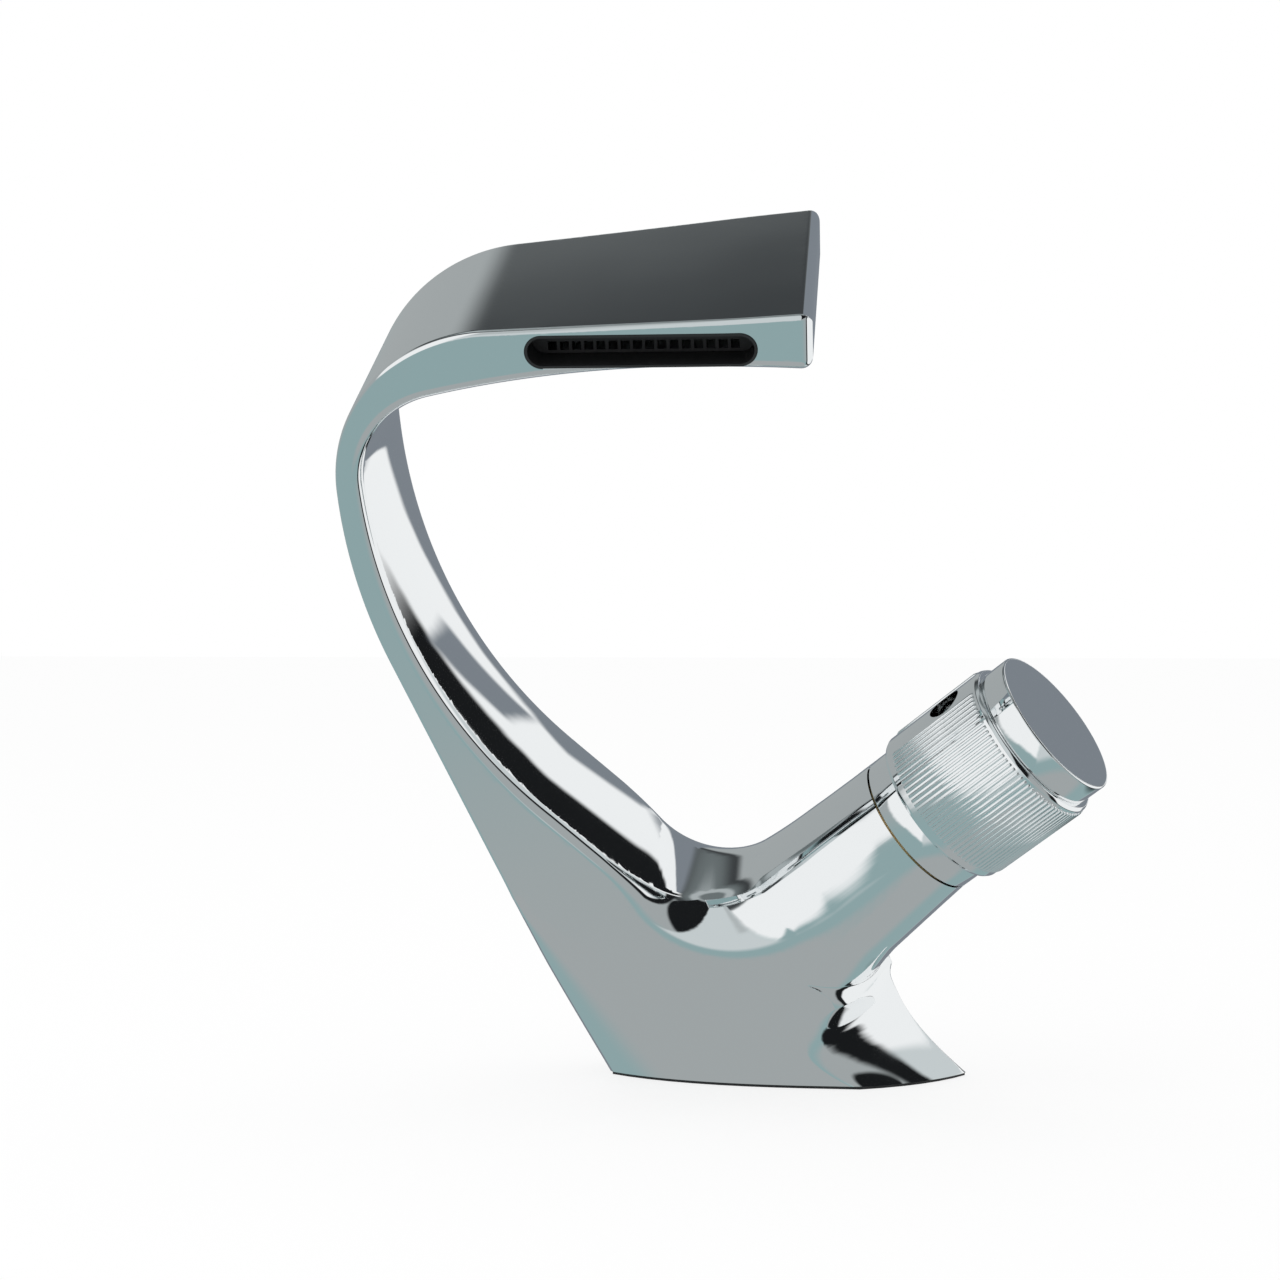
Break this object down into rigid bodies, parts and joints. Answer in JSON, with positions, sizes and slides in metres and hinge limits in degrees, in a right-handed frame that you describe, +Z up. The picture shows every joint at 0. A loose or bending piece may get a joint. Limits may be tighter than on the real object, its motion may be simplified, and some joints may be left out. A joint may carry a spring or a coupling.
{
  "type": "waterfall basin faucet",
  "caption": "Deck-mounted basin faucet: a leaning C-shaped spout strip with a front slot outlet on a pointed foot, with a knurled mixer handle on an angled side stub.",
  "frame": {"origin": "centre of the foot's underside, on the deck", "axes": "+Z up, -Y towards the user, +X towards the handle's side"},
  "size_m": [0.1571, 0.1337, 0.2477],
  "materials": {
    "chrome": "polished chrome plating",
    "black_plastic": "matte",
    "rubber": "matte",
    "white_plastic": "satin",
    "grey_plastic": "satin",
    "ceramic": "polished",
    "brass": "machined",
    "steel": "zinc plated"
  },
  "bodies": {
    "faucet": {"body": "chrome", "spout_insert": "black_plastic", "flow_grid": "black_plastic", "insert_seal": "rubber", "base_gasket": "rubber", "cartridge_housing": "white_plastic", "cartridge_base": "white_plastic", "hot_seal": "rubber", "cold_seal": "rubber", "outlet_seal": "rubber", "fixed_disc": "ceramic", "retaining_nut": "brass", "ring_seal": "rubber", "cover_ring": "chrome", "mounting_stud": "steel", "rubber_washer": "rubber", "steel_washer": "steel", "clamp_nut": "brass"},
    "mixer": {"stem_guide": "grey_plastic", "stem_pin": "steel"},
    "handle": {"stem": "brass", "handle_sleeve": "chrome", "handle_cap": "chrome", "cap_seal": "rubber", "grub_screw": "steel"},
    "disc": {"moving_disc": "ceramic", "disc_carrier": "grey_plastic"}
  },
  "joints": [
    {"name": "temperature_turn", "type": "hinge", "parent": "faucet", "child": "mixer", "pos_m": [0.0292, -0.03447, 0.06218], "axis": [0.7385, -0.3269, 0.5898], "range_deg": [-45, 45]},
    {"name": "flow_tilt", "type": "hinge", "parent": "mixer", "child": "handle", "pos_m": [0.034, -0.0366, 0.06602], "axis": [0, -0.8746, -0.4848], "range_deg": [0, 12]},
    {"name": "disc_slide", "type": "slide", "parent": "mixer", "child": "disc", "axis": [0.6743, 0.358, -0.6459], "range_m": [0, 0.0049]}
  ],
  "couplings": [
    {"joint": "disc_slide", "follows": "flow_tilt", "m_per_rad": 0.0228}
  ]
}
